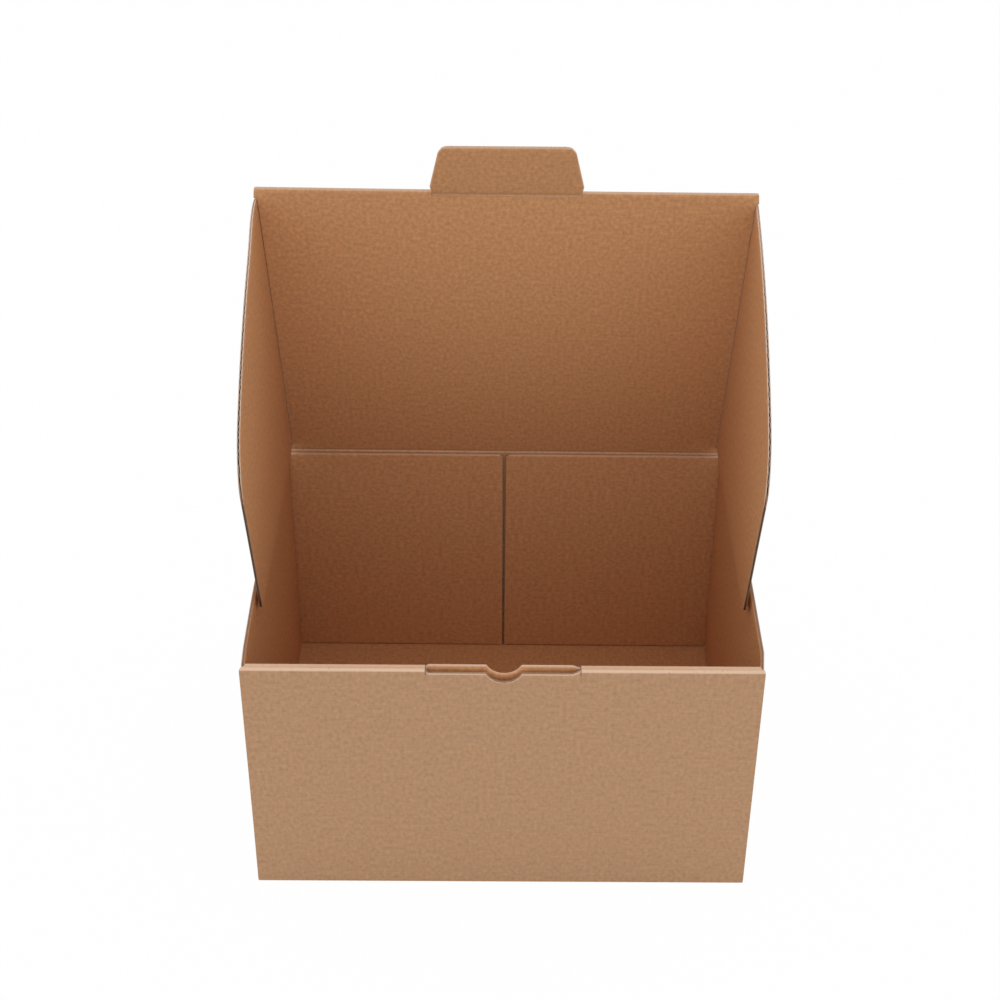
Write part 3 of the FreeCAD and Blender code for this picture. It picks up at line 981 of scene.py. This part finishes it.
wing = {
    "inner": 96.2,
    "rear": 3.45,
    "reach": 154.35,            # the front edge is an arc about the hinge
    "flatten": 0.92,            # but a little flatter, because the board gives as it closes
    "depth": 106.1,
    "leftDepth": 107.0,
    "rake": 27.5,               # how far the heel lies in front of the fold's rear end
    "corner": 34.0,
    "heel": 2.4,
    "splay": 0.75,
    "evenSplay": 0.85,          # this share of it everywhere
    "heelSplay": 0.9,           # and more towards the heel
    "splayRise": 1.8,
    "leftPuff": 0.5,            # left wing further out near its fold
    "puffAt": -9.0,
    "puffSpread": 12.0,
    "puffStart": 3.0,
    "bend": 1.6,                # half of the stretch that bends at the fold
    "foldRun": 3.0,             # board drawn as a fold on each side of it
    "foldDrop": 8.0,
    "edgeRoom": 1.4,            # kept for the rows of a cut edge
    "plainShares": (0.04, 0.12, 0.24, 0.37, 0.5, 0.63, 0.76, 0.88, 0.96),
    "edgeCrush": 0.36,
    "frontCrush": (0.26, 0.34, 0.5),    # the flutes stay open at the widest part
    "frontCrushAt": (-95, -60, -20),
    "footShade": -0.85,          # painted shade: the lower edge and the heel are drawn dark, as they lie in shadow
}


def frontArc(up):
    return np.sqrt(wing["reach"] ** 2 - (wing["flatten"] * up) ** 2)


def cornerArc(up, foot):
    # Front corner's quarter circle, counted from its centre
    return np.sqrt(np.maximum(0.0, wing["corner"] ** 2 - (up - foot - wing["corner"]) ** 2))


def wingSpan(up, foot):
    # Rear and front end of the flute at this height of the lid's own frame
    rake = Vector((wing["rake"], -wing["depth"])).normalized()
    inward = Vector((-rake.y, rake.x))
    low = wing["rear"] + wing["rake"] * max(0.0, -middle - up) / wing["depth"]
    heelY = foot + wing["heel"]
    down = (-middle + inward.y * wing["heel"] - heelY) / -rake.y
    heelX = wing["rear"] + inward.x * wing["heel"] + rake.x * down
    if up < heelY - inward.y * wing["heel"]:
        low = heelX - math.sqrt(max(0.0, wing["heel"] ** 2 - (up - heelY) ** 2))
    heights = np.linspace(foot, foot + wing["corner"], 200)
    between = frontArc(heights) - cornerArc(heights, foot)
    touch = int(np.argmin(between))       # the corner's arc runs on from the front one here
    if up < heights[touch]:
        return low, float(between[touch] + cornerArc(up, foot))
    return low, float(frontArc(up))


def makeWing(name, sign, depth, puff, seed):
    outX = wing["inner"] + middle
    foot = -(middle + depth)
    run, fold = wing["foldRun"], lid["foldHalf"]
    section = foldedPath([(fold - run, 0), (outX, 0), (outX, -wing["foldDrop"])])
    section = [row for row in section if row[0].x >= fold - lid["foldStep"] and row[0].y > -run]
    columns = [(place.x, place.y, fold + length, crush, 0.0)
               for (place, crush, _), length in zip(section, rowLengths(section))]
    _, lowUp, lowAcross, _, _ = columns[-1]
    step = board["flutePitch"] / board["columnsPerFlute"]
    count = int((lowUp - foot - wing["edgeRoom"]) / step)
    rows = [(lowUp - k * step, 0.0, 0.0) for k in range(1, count + 1)]
    # The lower cut edge gets painted shade
    rows += towardsEdge(foot, 1, wing["edgeCrush"], wing["footShade"])
    columns += [(outX, up, lowAcross + lowUp - up, crush, cut) for up, crush, cut in rows]
    sheet = Sheet(name, seed)
    grid = []
    for x, up, across, crush, cut in columns:
        low, high = wingSpan(up, foot)
        out = wing["splay"] * (max(0.0, -up) / wing["depth"]) ** wing["splayRise"]
        swell = puff * bell(up - wing["puffAt"], wing["puffSpread"]) * min(1.0, -up / wing["puffStart"])
        # The heel's cut edge gets painted shade
        spots = towardsEdge(low + fray(across), 1, wing["edgeCrush"], wing["footShade"])[::-1]
        spots += [(low + (high - low) * share, 0.0, 0.0) for share in wing["plainShares"]]
        frontCrush = float(np.interp(up, wing["frontCrushAt"], wing["frontCrush"]))
        spots += towardsEdge(high - fray(across), -1, frontCrush)
        line = []
        for along, edgeCrush, edgeCut in spots:
            share = along / wing["reach"]
            sway = out * (wing["evenSplay"] + wing["heelSplay"] * (1 - share) ** 2) + swell * share ** 2
            line.append((inLid(sign * (x + sway), along, up), across, along,
                         max(crush, edgeCrush), cut or edgeCut))
        grid.append(line)
    sheet.addGrid(grid, flip=sign < 0)
    return makeBoard(sheet, boardTree, kraftPaper)


tab = {
    "fold": 158.2,
    "lean": math.radians(3),
    "half": 29.4,
    "shift": 0.3,               # to the right of the lid's middle
    "length": 26.1,
    "neck": 0.85,               # narrower at the fold
    "shoulder": 5.0,
    "taper": 4.2,               # narrower at the tip
    "corner": 3.6,
    "bead": 0.35,
    "beadAt": 0.3,
    "beadWidth": 0.6,
    "startCrush": 0.3,
    "creaseCrush": 0.3,
    "creaseAt": 0.45,
    "creaseWidth": 0.6,
    "creaseShade": 0.25,
    "shadeAt": 1.9,
    "shadeWidth": 0.5,
    "creaseRows": (0.05, 0.3, 0.6, 0.9, 1.2, 1.6, 2.0, 2.5),
    "plainRows": (3.2, 4.1, 5.0, 6.2, 8.0, 13.0, 18.0, 21.0, 22.2, 23.0, 23.6),
    "bend": 1.3,
    "flatBeyond": 1.5,          # the lid's twist dies away in this length
    # painted shade: the tab is drawn darker, for the shade that its lean puts on it
    "tone": 0.92,
    "edgeCrush": 0.65,
    "edgeTone": 0.5,
    "rim": 0.45,                # the tab thins this near to its sides
    "squeezeZone": 9.5,
}


def tabHalf(t):
    marks = (0.0, tab["shoulder"], tab["length"])
    widths = (tab["half"] - tab["neck"], tab["half"], tab["half"] - tab["taper"])
    width = float(np.interp(t, marks, widths))
    return width - roundCorner(t - (tab["length"] - tab["corner"]), tab["corner"])


def makeTab():
    c, s = math.cos(tab["lean"]), math.sin(tab["lean"])
    tip, rim = tab["length"], tab["rim"]
    rows = [(lid["recessStart"], 0.0, 0.0, tab["startCrush"], 0.0)]
    # Crease rows, with painted shadow just past the tab's crease
    marks = [(t, tab["creaseCrush"] * bell(t - tab["creaseAt"], tab["creaseWidth"]),
              shadeBeside(t - tab["shadeAt"], tab["creaseShade"], tab["shadeWidth"]))
             for t in tab["creaseRows"]]
    marks += [(t, 0.0, 0.0) for t in tab["plainRows"]]
    marks += towardsEdge(tip, -1, tab["edgeCrush"], tab["edgeTone"])
    for t, crush, cut in marks:
        bump = tab["bead"] * bell(t - tab["beadAt"], tab["beadWidth"])
        along = tab["fold"] + t * c + (middle - bump) * s
        up = -middle - t * s + (middle - bump) * c
        rows.append((along, up, t, crush, cut))
    sheet = Sheet("tuckTab", 9, tab["tone"])
    grid = []
    for x in columnStations(-tab["half"], tab["half"], [rim - tab["half"], tab["half"] - rim]):
        column = []
        for along, up, t, crush, cut in rows:
            across = squeeze(x, tabHalf(t), tab["half"], tab["squeezeZone"])
            atSide = max(0.0, 1 - (tab["half"] - abs(x)) / rim)
            end = fray(x) if t == tip else 0
            flattened = math.exp(-max(0.0, t) / tab["flatBeyond"])
            place = inLid(across + tab["shift"], along + end, up, flattened)
            column.append((place, across, along,
                           max(crush, atSide * tab["edgeCrush"]), cut or atSide * tab["edgeTone"]))
        grid.append(column)
    sheet.addGrid(grid)
    return makeBoard(sheet, boardTree, kraftPaper)


lidPanel = makeLid()
leftWing = makeWing("leftWing", -1, wing["leftDepth"], wing["leftPuff"], 7)
rightWing = makeWing("rightWing", 1, wing["depth"], 0.0, 8)
tuckTab = makeTab()


def inMetres(point):
    return tuple(value * millimetre for value in point)


bend, halfway = lid["hingeReach"], 80
inMetres(lidRow(0, -bend))
inMetres(inLid(0, bend, 0))
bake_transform(lidPanel)
for piece, sign, body in ((leftWing, -1, "left_wing"), (rightWing, 1, "right_wing")):
    inMetres(inLid(sign * lid["foldHalf"], halfway, 0))
    inMetres(inLid(sign * (wing["inner"] + middle), halfway, -wing["bend"]))
    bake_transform(piece)
inMetres(inLid(0, lid["recessStart"], 0))
inMetres(inLid(0, tab["fold"] + tab["bend"], 0))
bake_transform(tuckTab)
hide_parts("lid_panel")
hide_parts("left_wing")
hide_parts("right_wing")
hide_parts("tuck_tab")
print("lid, wings and tab made")


studio = {
    "ground": (0.86, 0.86, 0.86),
    "groundSize": 6.0,
    "groundDrop": 0.0003,       # below the box, so that the two faces don't lie in one plane
    "groundGlow": 0.985,
    "worldStrength": 0.86,
    "keyPlace": (0.0, 0.05, 1.5),
    "keyAim": (0.0, 0.0, 0.1),
    "keyPower": 2.5,
    "keySize": 1.4,
}


def seenDirectly(tree):
    # 1 for camera, mirror and glass rays, which see the plain white background
    path = tree.nodes.new("ShaderNodeLightPath")
    seen = mathNode(tree, "MAXIMUM", path.outputs["Is Camera Ray"], path.outputs["Is Glossy Ray"])
    return mathNode(tree, "MAXIMUM", seen, path.outputs["Is Transmission Ray"])


def mixTo(tree, share, first, second, outputKind):
    mix = tree.nodes.new("ShaderNodeMixShader")
    for socket, source in zip(mix.inputs, (share, first, second)):
        feed(tree, socket, source)
    addNode(tree, outputKind, Surface=mix.outputs["Shader"])


def makeGround():
    size = studio["groundSize"] / 2
    corners = [(-size, -size, 0), (size, -size, 0), (size, size, 0), (-size, size, 0)]
    mesh = bpy.data.meshes.new("ground")
    mesh.from_pydata(corners, [], [(0, 1, 2, 3)])
    ground = addObject("ground", mesh)
    ground.location.z = -studio["groundDrop"]
    material = bpy.data.materials.new("paleGround")
    material.use_nodes = True
    tree = material.node_tree
    tree.nodes.clear()
    diffuse = addNode(tree, "ShaderNodeBsdfDiffuse", Color=(*studio["ground"], 1.0))
    glow = addNode(tree, "ShaderNodeEmission", Color=(1.0, 1.0, 1.0, 1.0))
    share = times(tree, seenDirectly(tree), studio["groundGlow"])
    mixTo(tree, share, diffuse.outputs["BSDF"], glow.outputs["Emission"], "ShaderNodeOutputMaterial")
    mesh.materials.append(material)


def makeWorld():
    world = bpy.data.worlds.new("softWorld")
    bpy.context.scene.world = world
    world.use_nodes = True
    tree = world.node_tree
    tree.nodes.clear()
    soft = addNode(tree, "ShaderNodeBackground", Color=(1.0, 1.0, 1.0, 1.0),
                   Strength=studio["worldStrength"])
    white = addNode(tree, "ShaderNodeBackground", Color=(1.0, 1.0, 1.0, 1.0))
    mixTo(tree, seenDirectly(tree), soft.outputs["Background"], white.outputs["Background"],
          "ShaderNodeOutputWorld")


def areaLight(name, place, power, size):
    data = bpy.data.lights.new(name, "AREA")
    data.shape = "SQUARE"
    data.energy = power
    data.size = size
    lamp = addObject(name, data)
    lamp.location = place
    aim = Vector(studio["keyAim"]) - Vector(place)
    lamp.rotation_euler = aim.to_track_quat("-Z", "Y").to_euler()


camera = {
    "lens": 63.6,
    "sensor": 36.0,
    "place": (0.00118, -0.60678, 0.5357),
    "yaw": math.radians(0.257),
    "pitch": math.radians(33.287),
    "roll": math.radians(0.336),
}


def makeCamera():
    data = bpy.data.cameras.new("photoCamera")
    data.lens = camera["lens"]
    data.sensor_width = camera["sensor"]
    data.clip_start = 0.01
    eye = addObject("photoCamera", data)
    turn = Matrix.Rotation(camera["yaw"], 4, "Z")
    turn = turn @ Matrix.Rotation(math.pi / 2 - camera["pitch"], 4, "X")
    turn = turn @ Matrix.Rotation(camera["roll"], 4, "Z")
    eye.matrix_world = Matrix.Translation(camera["place"]) @ turn
    bpy.context.scene.camera = eye


makeGround()
makeWorld()
areaLight("topSoftbox", studio["keyPlace"], studio["keyPower"], studio["keySize"])
makeCamera()
bpy.context.scene.view_settings.view_transform = "Standard"
print("studio ready")
